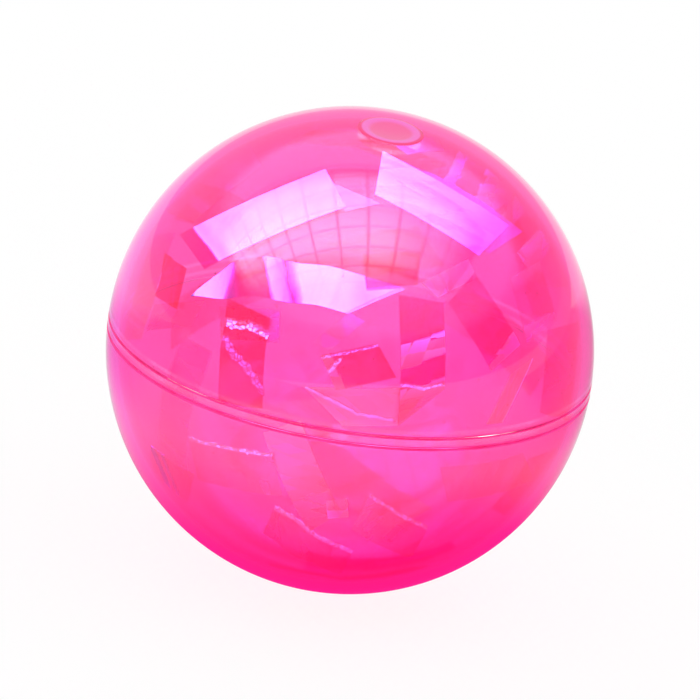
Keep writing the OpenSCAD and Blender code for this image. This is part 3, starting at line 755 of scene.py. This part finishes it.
def shell_materials():
    """The outside and inside of the shell, and the faces and squeezed edges of its bonded joints."""
    colours = bpy.context.scene.ball_colours
    names = ("shell_outside", "shell_inside", "bonded_joint", "bonded_edge")
    if names[0] not in bpy.data.materials:
        clear_plastic(names[0], colours.shell, colours.shell_rim, OUTSIDE_ROUGHNESS, RIPPLE_DEPTH)
        clear_plastic(names[1], colours.shell, colours.shell, INSIDE_ROUGHNESS, RIPPLE_DEPTH)
        bonded_face(names[2], colours.joint)
        milky_plastic(names[3], colours.seam_line, colours.seam_deep, colours.joint)
    return [bpy.data.materials[name] for name in names]


def lean(piece, sizes, latitudes):
    """Turns a mesh towards the plug's axis, not at all below one latitude and fully above another."""
    low, high = latitudes
    axis = Vector((math.cos(sizes.plug_turn), math.sin(sizes.plug_turn), 0.0))
    for vertex in piece.data.vertices:
        latitude = math.asin(vertex.co.normalized().z)
        share = max(0.0, min(1.0, (latitude - low) / (high - low)))
        smooth = share * share * (3.0 - 2.0 * share)
        vertex.co = Matrix.Rotation(sizes.plug_lean * smooth, 3, axis) @ vertex.co


class BALL_OT_upper_half(bpy.types.Operator):
    """Makes the upper moulded half, with its spigot and vent hole"""
    bl_idname = "ball.upper_half"
    bl_label = "Upper half"

    def execute(self, context):
        sizes = context.scene.ball_sizes
        top = SEAM_H / 2
        edge = sizes.seam_round
        groove_r = BALL_R - sizes.seam_depth
        spigot_r = INNER_R + sizes.spigot_t
        bore_r = sizes.plug_head_r + sizes.air_gap
        stem_r = sizes.plug_stem_r + sizes.fit
        seat_z = sizes.plug_top_z() - sizes.plug_head_h
        edge_r = sphere_z(BALL_R, top)
        lip = math.acos(bore_r / BALL_R)
        line = arc((edge_r - edge, top + edge), edge, -math.pi / 2, 0.0, EDGE_STEPS)
        outside = arc((0, 0), BALL_R, math.asin((top + EDGE_REACH * edge) / BALL_R), lip, WALL_STEPS)
        mouth_z = sphere_z(BALL_R, bore_r)
        ledge = [(bore_r, mouth_z), (bore_r, seat_z), (stem_r, seat_z)]
        spigot_turn = -math.asin(SPIGOT_H / INNER_R)
        inside = arc((0, 0), INNER_R, math.acos(stem_r / INNER_R), spigot_turn, WALL_STEPS)
        joint = [(spigot_r, -SPIGOT_H), (spigot_r, 0.0), (groove_r, 0.0), (groove_r, top)]
        piece = revolve("upper_half", [(line, LINE), (outside, GLOSS), (ledge, JOINT),
                                       (inside, INSIDE), (joint, JOINT)], True, ROUND_STEPS)
        lean(piece, sizes, HALF_LEAN)
        seat(piece, "upper_shell", "shell", "shell", *shell_materials())
        return {"FINISHED"}


class BALL_OT_lower_half(bpy.types.Operator):
    """Makes the lower moulded half, with its socket and the flat that it stands on"""
    bl_idname = "ball.lower_half"
    bl_label = "Lower half"

    def execute(self, context):
        sizes = context.scene.ball_sizes
        top = SEAM_H / 2
        edge = sizes.seam_round_low
        groove_r = BALL_R - sizes.seam_depth
        socket_r = INNER_R + sizes.spigot_t + sizes.fit
        socket_z = -SPIGOT_H - sizes.fit
        edge_r = sphere_z(BALL_R, top)
        flat_r = sphere_z(BALL_R, FLAT_Z)
        outside = ([(0.0, -FLAT_Z)]
                   + arc((0, 0), BALL_R, -math.acos(flat_r / BALL_R),
                         -math.asin((top + EDGE_REACH * edge) / BALL_R), WALL_STEPS))
        line = arc((edge_r - edge, -top - edge), edge, 0.0, math.pi / 2, EDGE_STEPS)
        rest_z = -sizes.air_gap
        joint = [(groove_r, -top), (groove_r, rest_z), (socket_r, rest_z), (socket_r, socket_z)]
        inside = arc((0, 0), INNER_R, math.asin(socket_z / INNER_R), -math.pi / 2, WALL_STEPS)
        inside[-1] = (0.0, -INNER_R)
        piece = revolve("lower_half", [(outside, GLOSS), (line[:-1], LINE), (line[-1:] + joint, JOINT),
                                       (inside, INSIDE)], False, ROUND_STEPS)
        seat(piece, "lower_shell", "shell", "shell", *shell_materials())
        return {"FINISHED"}


class BALL_OT_weld(bpy.types.Operator):
    """Makes the weld band round the equator"""
    bl_idname = "ball.weld"
    bl_label = "Weld band"

    def execute(self, context):
        sizes = context.scene.ball_sizes
        colours = context.scene.ball_colours
        half = SEAM_H / 2 - sizes.air_gap
        edge = sizes.seam_round
        inner = BALL_R - sizes.seam_depth + sizes.fit
        edge_r = sphere_z(BALL_R, half)

        def unevenness(turn, r, z):
            """The bead's edges wander a little along the seam."""
            spot = Vector((BEAD_ROUND * math.cos(turn), BEAD_ROUND * math.sin(turn), BEAD_UP * z / BALL_R))
            return -math.copysign(BEAD_WANDER * (1.0 + noise.noise(spot)), z)

        turn = math.asin((half - EDGE_REACH * edge) / BALL_R)
        low_line = arc((edge_r - edge, -half + edge), edge, -math.pi / 2, 0.0, EDGE_STEPS)
        outside = arc((0, 0), BALL_R, -turn, turn, BAND_STEPS)
        top_line = arc((edge_r - edge, half - edge), edge, 0.0, math.pi / 2, EDGE_STEPS)
        joint = top_line[-1:] + [(inner, half), (inner, -half)]
        piece = revolve("weld_band", [(low_line, LINE), (outside, GLOSS), (top_line[:-1], LINE),
                                      (joint, JOINT)], True, ROUND_STEPS, unevenness)
        bead = clear_plastic("weld_plastic", colours.weld, colours.shell_rim, BEAD_ROUGHNESS,
                             BEAD_RIPPLE_DEPTH)
        seat(piece, "seam_weld", "shell", "weld", bead, *shell_materials()[INSIDE:])
        return {"FINISHED"}


class BALL_OT_plug(bpy.types.Operator):
    """Makes the vent plug with its rounded rim and dished face"""
    bl_idname = "ball.plug"
    bl_label = "Vent plug"

    def execute(self, context):
        sizes = context.scene.ball_sizes
        colours = context.scene.ball_colours
        depth = sizes.dish_depth
        dish_curve = (sizes.dish_r ** 2 + depth ** 2) / (2 * depth)
        dish_turn = math.asin(sizes.dish_r / dish_curve)
        rim = sizes.plug_rim_r
        head_r = sizes.plug_head_r
        top_z = sizes.plug_top_z()
        seat_z = top_z - sizes.plug_head_h + sizes.air_gap
        stem = [(0.0, INNER_R), (sizes.plug_stem_r, INNER_R), (sizes.plug_stem_r, seat_z), (head_r, seat_z)]
        shoulder = arc((0.0, 0.0), 1.0, 0.0, math.pi / 2, BAND_STEPS)
        head = [(head_r - sizes.plug_rim_w * (1.0 - r), top_z - rim * (1.0 - z)) for r, z in shoulder]
        bottom = -math.pi / 2
        dish = arc((0.0, top_z - depth + dish_curve), dish_curve, bottom + dish_turn, bottom, DISH_STEPS)
        dish[-1] = (0.0, top_z - depth)
        piece = revolve("plug", [(stem[:1], INSIDE), (stem[1:], JOINT), (head + dish, GLOSS)], False,
                        PLUG_ROUND_STEPS)
        lean(piece, sizes, WHOLE_LEAN)
        tip = Matrix.Rotation(sizes.plug_lean, 3, "X") @ Vector((0.0, 0.0, 1.0))
        axis = Matrix.Rotation(sizes.plug_turn, 3, "Z") @ tip
        plastic = plug_plastic("plug_plastic", colours, axis, head_r)
        seat(piece, "vent_plug", "shell", "plug", plastic, *shell_materials()[INSIDE:])
        return {"FINISHED"}


class FilmStrip:
    """Shape of one film strip, worked out as in the part."""

    def __init__(self, row, sizes):
        name, self.angles, layer, cut, form = row
        self.name = "film_" + name
        self.length = cut[0] * sizes.strip_l
        self.width = cut[1] * sizes.strip_w
        self.left = cut[2] * self.width
        self.right = cut[3] * self.width
        self.bend, self.lift, self.wave, self.waves = form
        self.strip_w = sizes.strip_w
        self.tilt = math.radians(self.angles[3])
        self.rest_r = INNER_R - sizes.clear - layer * sizes.layer_step

    def edge_r(self, fall):
        """Radius in the plane of the bend of the long edge next to the wall."""
        edge_z = self.width / 2 * math.cos(self.tilt) + fall * abs(math.sin(self.tilt))
        return math.sqrt(self.rest_r ** 2 - edge_z ** 2)

    def bend_r(self):
        """Radius to which the strip is bent."""
        return self.edge_r(0.0) / self.bend

    def fall(self, along):
        """Fall of the bend at a distance along the strip from its middle."""
        return self.bend_r() - math.sqrt(self.bend_r() ** 2 - along ** 2)

    def middle_x(self):
        """Height of the strip's middle above the ball's centre."""
        half = self.length / 2
        fall = self.fall(half)
        seated = math.sqrt(self.edge_r(fall) ** 2 - half ** 2) + fall * math.cos(self.tilt)
        return min(self.edge_r(0.0), seated) - self.width / 2 * abs(math.sin(self.tilt))

    def face_x(self, share):
        """Height of the outer face against the middle, at a share of the length."""
        rest = 1.0 - share
        wave = self.wave * self.strip_w * (1.0 - math.cos(2.0 * math.pi * self.waves * share)) / 2.0
        return -self.fall((share - 0.5) * self.length) - (self.lift * self.strip_w * rest + wave) * rest

    def place(self):
        """Matrix that sets the strip in its place in the ball."""
        lon, lat, spin, _ = (math.radians(angle) for angle in self.angles)
        return (Matrix.Rotation(lon, 4, "Z") @ Matrix.Rotation(-lat, 4, "Y")
                @ Matrix.Translation((self.middle_x(), 0.0, 0.0))
                @ Matrix.Rotation(spin, 4, "X") @ Matrix.Rotation(self.tilt, 4, "Y"))

    def point(self, i_share, t_share):
        """Distance along the strip and across it, for shares of its cut outline."""
        start = -self.length / 2 + max(self.left, 0) * (1 - t_share) + max(-self.left, 0) * t_share
        end = self.length / 2 - max(self.right, 0) * (1 - t_share) - max(-self.right, 0) * t_share
        return start + (end - start) * i_share, (t_share - 0.5) * self.width


def crease_sets(seed):
    """Sets of straight creases that run over one strip: direction, spacing and start of each set."""
    draw = random.Random(seed)
    return [(draw.uniform(0.0, math.pi), draw.uniform(*CREASE_SPACING) * MM, draw.random())
            for _ in range(CREASE_SETS)]


def crease(along, across, sets):
    """Depth of the creases at a spot, from 0 to 1, and a value of the facet there, from -0.5 to 0.5, for its
    painted light and shade.
    """
    rises, cells = [], []
    for turn, spacing, start in sets:
        place = 2.0 * ((along * math.cos(turn) + across * math.sin(turn)) / spacing + start)
        cell = math.floor(place)
        rises.append(place - cell if cell % 2 == 0 else 1.0 - (place - cell))
        cells.append(cell + 0.5)
    return sum(rises) / len(rises), 0.5 * noise.cell(Vector(cells))


def fold_height(spot, path, width):
    """Share of a fold's depth at a spot: it grows to the left of the path, then drops back."""
    best = None
    for start, end in zip(path, path[1:]):
        run = end - start
        share = max(0.0, min(1.0, (spot - start).dot(run) / run.length_squared))
        gap = spot - (start + run * share)
        if best is None or gap.length < abs(best):
            best = math.copysign(gap.length, run.x * gap.y - run.y * gap.x)
    rise = best / width
    if rise < 1.0:
        return max(0.0, rise)
    return max(0.0, 1.0 - FOLD_DROP * (rise - 1.0))


def film_object(strip, sizes, crinkle, folds):
    """A thin closed strip with its crinkles and folds, and its own coordinates for the colour bands."""
    matrix = strip.place()
    seed = len(strip.name) + strip.angles[0]
    sets = crease_sets(seed)
    strength = min(1.0, crinkle / FULL_CREASE)
    columns, lines = FOLDED_STEPS if folds else FILM_STEPS
    paths = [[Vector((x * strip.length, y * strip.width)) for x, y in fold[0]] for fold in folds]
    sides, places, fold_glint_shares, facet_shadings = ([], []), [], [], []
    for i in range(columns + 1):
        for k in range(lines + 1):
            along, across = strip.point(i / columns, k / lines)
            share = along / strip.length + 0.5
            depth, facet = crease(along, across, sets)
            depth *= crinkle * MM
            # Painted light and shade of the facet at this spot
            facet_shadings.append(facet * strength)
            shine = 0.0
            spot = Vector((along, across, 0.0)) / sizes.crinkle_size + Vector((0.0, 0.0, seed))
            ragged = Vector((noise.noise(spot), noise.noise(spot + NOISE_STEP)))
            # Painted glint share of each fold at this spot
            for path, (_, width, fold_depth, fold_glint_share, jag) in zip(paths, folds):
                here = Vector((along + strip.length / 2, across + strip.width / 2)) + ragged * jag * MM
                height = fold_height(here, path, width * MM)
                depth += fold_depth * MM * height
                shine = max(shine, fold_glint_share if 0.0 < height else 0.0)
            x = strip.face_x(share) - depth
            sides[0].append(matrix @ Vector((x, along, across)))
            sides[1].append(matrix @ Vector((x - sizes.thickness, along, across)))
            places.append((share, k / lines, i / columns))
            fold_glint_shares.append(shine)
    count = len(places)
    faces = []
    for i in range(columns):
        for k in range(lines):
            a, b = i * (lines + 1) + k, (i + 1) * (lines + 1) + k
            faces.append((a, b, b + 1, a + 1))
            faces.append((count + a, count + a + 1, count + b + 1, count + b))
    rim = ([i * (lines + 1) for i in range(columns + 1)]
           + [columns * (lines + 1) + k for k in range(1, lines + 1)]
           + [i * (lines + 1) + lines for i in range(columns - 1, -1, -1)]
           + list(range(lines - 1, 0, -1)))
    for a, b in zip(rim, rim[1:] + rim[:1]):
        faces.append((b, a, count + a, count + b))
    piece = mesh_object(strip.name + "_sheet", sides[0] + sides[1], faces, [0] * len(faces))
    layer = piece.data.attributes.new("film_place", "FLOAT_VECTOR", "POINT")
    layer.data.foreach_set("vector", [part for place in places * 2 for part in place])
    for title, values in (("film_fold", fold_glint_shares), ("film_facet", facet_shadings)):
        layer = piece.data.attributes.new(title, "FLOAT", "POINT")
        layer.data.foreach_set("value", values * 2)
    return piece


class BALL_OT_films(bpy.types.Operator):
    """Makes the loose film strips inside the ball"""
    bl_idname = "ball.films"
    bl_label = "Film strips"

    def execute(self, context):
        sizes = context.scene.film_sizes
        colours = context.scene.ball_colours
        slots = {part["node"]: part["material_slot"] for part in frame["record"]["subparts"]}
        for *shape, roughness, tint, crinkle, bands in FILMS:
            strip = FilmStrip(shape, sizes)
            piece = film_object(strip, sizes, crinkle, FILM_FOLDS.get(shape[0], ()))
            shine = film_material(strip.name + "_shine", roughness, tint, bands, colours)
            seat(piece, strip.name, "film_fill", slots[strip.name], shine)
        return {"FINISHED"}


class BALL_OT_stage(bpy.types.Operator):
    """Sets the floor, the surroundings, the light panel and the camera"""
    bl_idname = "ball.stage"
    bl_label = "Stage"

    def execute(self, context):
        scene = context.scene
        stage = scene.ball_stage
        make_floor(scene.ball_colours)
        make_world(scene, scene.ball_colours)
        make_panel(stage)
        make_camera(scene, stage)
        scene.view_settings.view_transform = "Standard"
        scene.cycles.max_bounces = BOUNCES
        scene.cycles.transmission_bounces = CLEAR_BOUNCES
        scene.cycles.glossy_bounces = GLOSS_BOUNCES
        scene.cycles.transparent_max_bounces = FILM_BOUNCES
        return {"FINISHED"}


def rectangle(name, left, right, front, back, height):
    """A level rectangle, face up where its front is nearer than its back and face down otherwise."""
    corners = [(left, front, height), (right, front, height), (right, back, height), (left, back, height)]
    return mesh_object(name, corners, [(0, 1, 2, 3)], [0])


def glow_of(start, kind, tone, strength):
    """A glowing shader, with its strength taken into its colour."""
    shade = start.add("VectorMath", {"operation": "SCALE"}, {"Vector": tone, "Scale": strength})
    return start.add(kind, None, {"Color": shade})


def ray_kinds(start):
    """Signals that are 1 for rays through the plastic, for gloss, and for gloss on the outside alone,
    and one that is 1 for rays that a strip or a wall has sent back."""
    through = start.add("LightPath", None, None, "Is Transmission Ray")
    glossy = through.other("Is Glossy Ray")
    return through, glossy, glossy * (1.0 - through), through.other("Glossy Depth").math("MINIMUM", 1.0)


def make_floor(colours):
    """A pale floor that keeps the ball's shadow. Gloss and film show a painted pink glow of the ball on it,
    and gloss sees it dimmed in places by painted shade.
    """
    floor = rectangle("floor", -FLOOR_HALF, FLOOR_HALF, -FLOOR_HALF, FLOOR_HALF, -FLAT_Z)
    material, start = new_material("floor_white")
    through, glossy, mirrored, bounced = ray_kinds(start)
    camera = through.other("Is Camera Ray")
    shown = (camera * FLOOR_PLAIN).math("MAXIMUM", through).math("MAXIMUM", glossy)
    spot = start.add("NewGeometry", None, None, "Position")
    spot = spot.vector("SCALE", {"Scale": 1.0 / BALL_R})
    x, y, _ = spot.axes()
    wide = x.math("ABSOLUTE")
    front = (1.0 - y.step(*FLOOR_FRONT)) * bounced
    patch = spot.vector("MULTIPLY_ADD", {1: GLOW_STRETCH, 2: GLOW_PLACE})
    away = patch.vector("LENGTH", {}, "Value") - mirrored * (wide + 1.0) * GLOSS_SPREAD
    first, last = (through * seen + mirrored * shone for seen, shone in zip(THROUGH_GLOW, GLOSS_GLOW))
    lit = away.step(first, last).math("MAXIMUM", camera).math("MAXIMUM", front * through)
    # Painted shade: the parts of the floor that gloss sees dimmed
    sides = wide.step(*DIM_WIDE) * (1.0 - DIM_NARROW) + DIM_NARROW
    dim = (y.step(*DIM_BACK) * sides).math("MAXIMUM", 1.0 - x.step(*DIM_LEFT))
    dim = dim * (1.0 - (y - x.math("MAXIMUM", 0.0)).step(*DIM_END)) * mirrored
    strength = through * (front * FRONT_GLOW + EXTRA_GLOW) + 1.0 - dim * FLOOR_DIM
    # Painted pink glow of the ball on the floor
    tone = lit.mix(rgba(colours.ball_glow_painted_on_floor), rgba(colours.backdrop))
    matt = start.add("BsdfDiffuse", None, {"Color": rgba(colours.backdrop)})
    finish_material(start, shown.blend(matt, glow_of(start, "Emission", tone, strength)))
    floor.data.materials.append(material)


def make_world(scene, colours):
    """White surroundings, which the gloss of the ball shows as a dim room above a white table."""
    world = bpy.data.worlds.new("studio")
    scene.world = world
    world.use_nodes = True
    world.node_tree.nodes.clear()
    start = Signal(world.node_tree)
    _, glossy, mirrored, bounced = ray_kinds(start)
    x, y, z = start.add("TexCoord", None, None, "Generated").axes()
    bend = (x - TABLE_BEND).math("MINIMUM", 0.0) * TABLE_SLOPE
    corner = (TABLE_CORNER - x).math("MAXIMUM", 0.0) * TABLE_DROP
    table = 1.0 - (z - (bend - corner)).step(*TABLE_EDGE)
    table = table * (1.0 - y.step(*TABLE_FAR) * TABLE_FAR_DIM)
    walls = y.step(*BACK_WALL) * BACK_WALL_GLOW + WALL_GLOW
    walls = walls * (1.0 - x.step(*RIGHT_WALL) * RIGHT_WALL_DIM)
    behind = (y * BEHIND_Y + z * BEHIND_Z).step(*BEHIND)
    room = walls.math("MAXIMUM", table) + behind * BEHIND_GLOW
    bright = (1.0 - y.step(*SKY_FRONT)) * FRONT_GLOW + z.step(*SKY_TOP) * HIGH_GLOW
    inside = (bright * bounced + EXTRA_GLOW) * glossy + 1.0
    strength = mirrored * room * ROOM_GLOW + (1.0 - mirrored) * inside
    tone = mirrored.mix(rgba(colours.backdrop), rgba(colours.room))
    output = world.node_tree.nodes.new("ShaderNodeOutputWorld")
    sky = glow_of(start, "Background", tone, strength)
    world.node_tree.links.new(sky.socket, output.inputs["Surface"])


def make_panel(stage):
    """A wide overhead light panel with crossbars, dimmer towards its edges, that gloss and film show."""
    height = stage.panel_height
    left, right, front, back = (side * height for side in PANEL_SIDES)
    panel = rectangle("overhead_panel", left, right, back, front, height)
    material, start = new_material("panel_glow")
    through, _, _, _ = ray_kinds(start)
    share, _, _ = start.add("TexCoord", None, None, "Generated").axes()
    spot = start.add("NewGeometry", None, None, "Position")
    u, v, _ = spot.vector("SCALE", {"Scale": 1.0 / height}).axes()
    middle = share.step(*PANEL_LEFT) * (1.0 - share.step(*PANEL_RIGHT)) * (1.0 - v.step(*PANEL_BACK))
    bars = []
    for across, along, (slant, place, spacing) in ((u, v, UPRIGHT_BARS), (v, u, LEVEL_BARS)):
        line = (across + along * slant + place) * (1.0 / spacing) + 0.5
        bars.append((line.math("FRACT") - 0.5).math("ABSOLUTE").step(*BAR_EDGE))
    cover = bars[0] * bars[1] * (1.0 - BAR_SHADE) + BAR_SHADE
    gloss = v.step(*GLOSS_FRONT) * (1.0 - v.step(*GLOSS_BACK) * GLOSS_BACK_DIM)
    gloss = gloss * (1.0 - u.step(*GLOSS_RIGHT) * GLOSS_RIGHT_DIM) * GLOSS_LEVEL
    level = through * v.step(*STRIP_FRONT) + (1.0 - through) * gloss
    least = through * (STRIP_LEAST - GLOSS_LEAST) + GLOSS_LEAST
    strength = middle * cover * level * (stage.panel_glow - STRIP_LEAST) + least
    glow = glow_of(start, "Emission", WHITE, strength)
    hidden = through * (1.0 - v.step(*STRIP_END))
    finish_material(start, hidden.blend(glow, start.add("BsdfTransparent")))
    panel.data.materials.append(material)
    panel.visible_camera = False
    panel.visible_diffuse = False
    panel.visible_shadow = False


def make_camera(scene, stage):
    """The camera, at the photograph's viewing angle."""
    lens = bpy.data.cameras.new("view")
    camera = bpy.data.objects.new("view", lens)
    up = Vector((0.0, math.sin(stage.elevation), math.cos(stage.elevation)))
    back = Vector((0.0, -math.cos(stage.elevation), math.sin(stage.elevation)))
    turn = Matrix((up.cross(back), up, back)).transposed().to_4x4()
    camera.matrix_world = (Matrix.Translation(back * stage.distance) @ turn
                           @ Matrix.Rotation(stage.roll, 4, "Z"))
    half_sight = math.asin(BALL_R / stage.distance)
    lens.sensor_width = SENSOR_MM
    lens.lens = stage.ball_px / 2 / math.tan(half_sight) * SENSOR_MM / IMAGE_PX
    lens.clip_end = CLIP_END
    scene.collection.objects.link(camera)
    scene.camera = camera


class BALL_PT_panel(bpy.types.Panel):
    """Lists the steps that build the ball"""
    bl_label = "Bouncy ball"
    bl_idname = "BALL_PT_panel"
    bl_space_type = "VIEW_3D"
    bl_region_type = "UI"
    bl_category = "Ball"

    def draw(self, context):
        for operator in OPERATORS:
            self.layout.operator(operator.bl_idname)
        for title, group in GROUPS.items():
            for name in group.__annotations__:
                self.layout.prop(getattr(context.scene, title), name)


GROUPS = {"ball_sizes": BallSizes, "film_sizes": FilmSizes,
          "ball_colours": BallColours, "ball_stage": StageSettings}
OPERATORS = (BALL_OT_upper_half, BALL_OT_lower_half, BALL_OT_weld,
             BALL_OT_plug, BALL_OT_films, BALL_OT_stage)


def register():
    """Registers the classes and the settings of the scene."""
    for group in (*GROUPS.values(), *OPERATORS, BALL_PT_panel):
        bpy.utils.register_class(group)
    for name, group in GROUPS.items():
        setattr(bpy.types.Scene, name, bpy.props.PointerProperty(type=group))


def unregister():
    """Takes the settings and the classes away again."""
    for name in GROUPS:
        delattr(bpy.types.Scene, name)
    for group in (BALL_PT_panel, *OPERATORS, *GROUPS.values()):
        bpy.utils.unregister_class(group)


def main():
    """Builds every piece, then the stage."""
    register()
    for operator in OPERATORS:
        group, name = operator.bl_idname.split(".")
        getattr(getattr(bpy.ops, group), name)()


if __name__ == "__main__":
    main()
